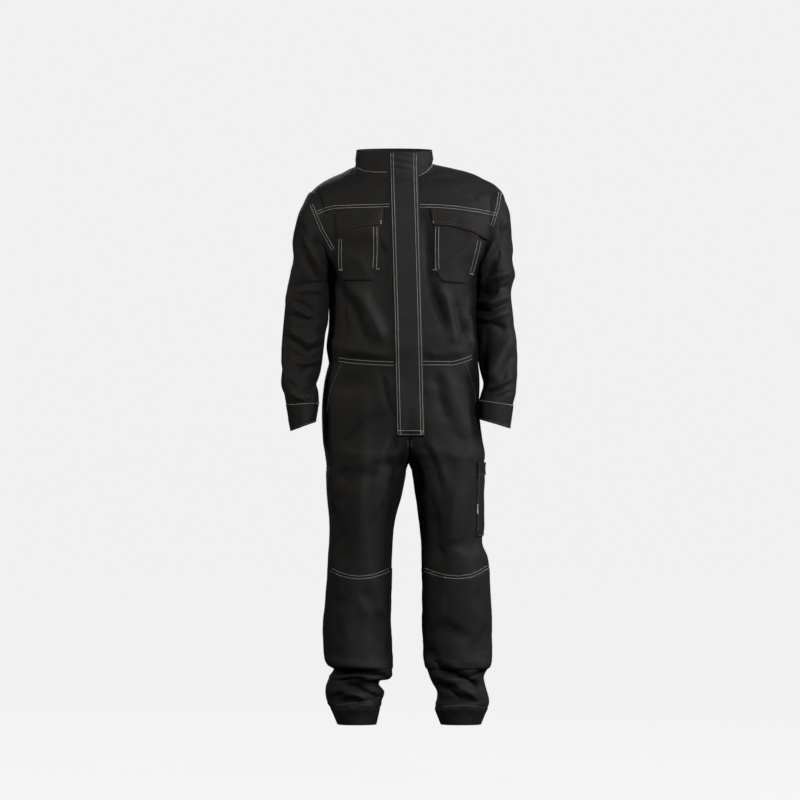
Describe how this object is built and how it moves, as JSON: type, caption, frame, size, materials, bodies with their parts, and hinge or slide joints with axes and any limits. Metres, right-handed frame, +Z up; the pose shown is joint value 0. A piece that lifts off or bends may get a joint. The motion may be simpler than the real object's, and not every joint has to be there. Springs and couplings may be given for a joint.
{
  "type": "welding coverall",
  "caption": "Long-sleeved one-piece welding coverall with stand collar, covered front, chest, knee and thigh pockets, kept in its worn form and hollow inside.",
  "frame": {"origin": "middle of the neck opening, level with the shoulders, where the coverall hangs", "axes": "+Z up along the body, -Y the way the front faces, +X towards the wearer's left"},
  "size_m": [0.6087, 0.2861, 1.4996],
  "materials": {
    "black_twill": "matt black cotton twill with a soft sheen and pale grey contrast stitching",
    "pocket_twill": "the same black twill, doubled at its edges, with pale grey and dark red stitching",
    "pale_tab": "plain pale woven tab, bare"
  },
  "bodies": {
    "root": {"collar": "black_twill", "front_yoke_right": "black_twill", "front_yoke_left": "black_twill", "back_yoke": "black_twill", "front_right": "black_twill", "front_left": "black_twill", "back": "black_twill", "leg_front_right": "black_twill", "leg_back_right": "black_twill", "shin_front_right": "black_twill", "shin_back_right": "black_twill", "leg_front_left": "black_twill", "leg_back_left": "black_twill", "shin_front_left": "black_twill", "shin_back_left": "black_twill", "sleeve_right": "black_twill", "cuff_right": "black_twill", "sleeve_left": "black_twill", "cuff_left": "black_twill", "placket": "black_twill", "chest_pocket_right": "pocket_twill", "chest_flap_right": "pocket_twill", "chest_pocket_left": "pocket_twill", "chest_flap_left": "pocket_twill", "knee_pocket_right": "pocket_twill", "knee_pocket_left": "pocket_twill", "thigh_pocket": "pocket_twill", "thigh_flap": "pocket_twill", "side_tab": "pale_tab"}
  },
  "joints": []
}
